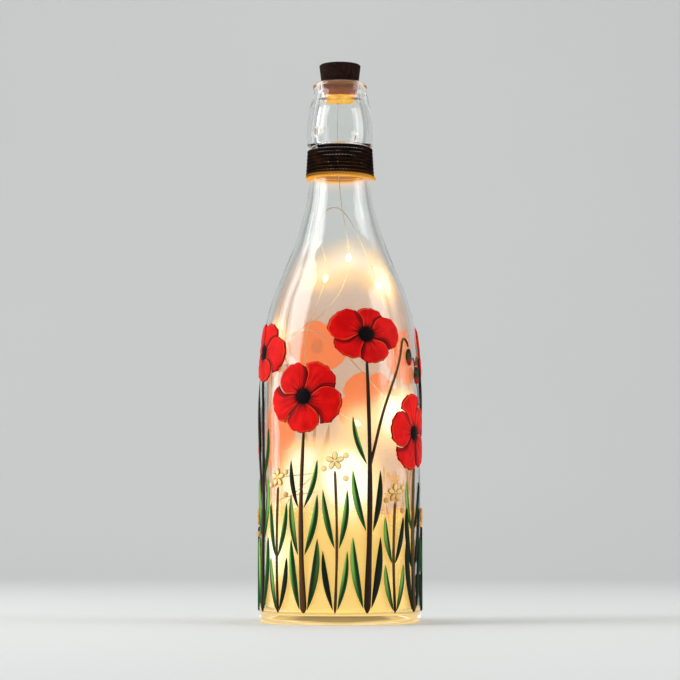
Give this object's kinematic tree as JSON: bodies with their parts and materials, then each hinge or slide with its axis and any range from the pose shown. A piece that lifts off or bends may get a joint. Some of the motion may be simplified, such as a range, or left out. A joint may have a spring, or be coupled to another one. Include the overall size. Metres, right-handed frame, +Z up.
{
  "type": "cork bottle light",
  "caption": "Painted glass bottle whose cork holds button cells, a switch and a string of small warm lamps that hangs inside; the cork lifts out.",
  "frame": {"origin": "middle of the foot, on the surface that the bottle stands on", "axes": "+Z up along the bottle's axis, -Y the front with the lowest big poppy left of the middle, +X to the right"},
  "size_m": [0.0868, 0.0868, 0.2954],
  "materials": {
    "clear_glass": "clear blown glass",
    "frosting": "sprayed cream frosting, fading upwards",
    "twine": "dark brown jute twine, matte",
    "cork": "dark stained cork, matte",
    "cup_plastic": "black moulded plastic",
    "board": "green circuit board",
    "chip_black": "black chip resistor",
    "contact_steel": "plated spring steel",
    "contact_brass": "bare brass strip",
    "cell_steel": "plated steel can",
    "lid_plastic": "dark moulded plastic",
    "knob_plastic": "black moulded plastic",
    "wire": "thin lacquered wire",
    "lamp_resin": "clear resin drop",
    "lamp_chip": "warm white lamp chip",
    "poppy_paint": "raised red paint, satin gloss",
    "heart_paint": "raised black paint, satin gloss",
    "stem_paint": "raised olive brown paint",
    "leaf_paint": "raised green paint, satin gloss",
    "bud_paint": "raised dark red paint",
    "cream_paint": "raised cream paint",
    "ochre_paint": "raised ochre paint"
  },
  "bodies": {
    "bottle": {"bottle_glass": "clear_glass", "frost_coat": "frosting", "neck_twine": "twine", "poppy_1": "poppy_paint", "poppy_2": "poppy_paint", "poppy_3": "poppy_paint", "poppy_4": "poppy_paint", "poppy_5": "poppy_paint", "poppy_6": "poppy_paint", "poppy_7": "poppy_paint", "poppy_8": "poppy_paint", "poppy_hearts": "heart_paint", "poppy_stems": "stem_paint", "poppy_leaves": "leaf_paint", "bud_stems": "stem_paint", "poppy_buds": "bud_paint", "sprig_stems": "stem_paint", "sprig_leaves": "leaf_paint", "blossoms": "cream_paint", "paint_dots": "ochre_paint", "light_string": "wire", "lamp_drops": "lamp_resin", "lamp_chips": "lamp_chip"},
    "cork": {"cork_stopper": "cork", "battery_cup": "cup_plastic", "circuit_board": "board", "resistor": "chip_black", "contact_spring": "contact_steel", "side_strip": "contact_brass", "lead_in_wire": "wire", "button_cell_1": "cell_steel", "button_cell_2": "cell_steel", "button_cell_3": "cell_steel"},
    "lid": {"battery_lid": "lid_plastic", "switch_body": "contact_steel", "contact_plate": "contact_brass"},
    "switch": {"switch_knob": "knob_plastic"}
  },
  "joints": [
    {"name": "cork_lift", "type": "slide", "parent": "bottle", "child": "cork", "axis": [0, 0, 1], "range_m": [0, 0.02], "deforming": ["light_string"]},
    {"name": "lid_lift", "type": "slide", "parent": "cork", "child": "lid", "axis": [0, 0, 1], "range_m": [0, 0.016]},
    {"name": "switch_slide", "type": "slide", "parent": "lid", "child": "switch", "axis": [1, 0, 0], "range_m": [0, 0.002]}
  ]
}
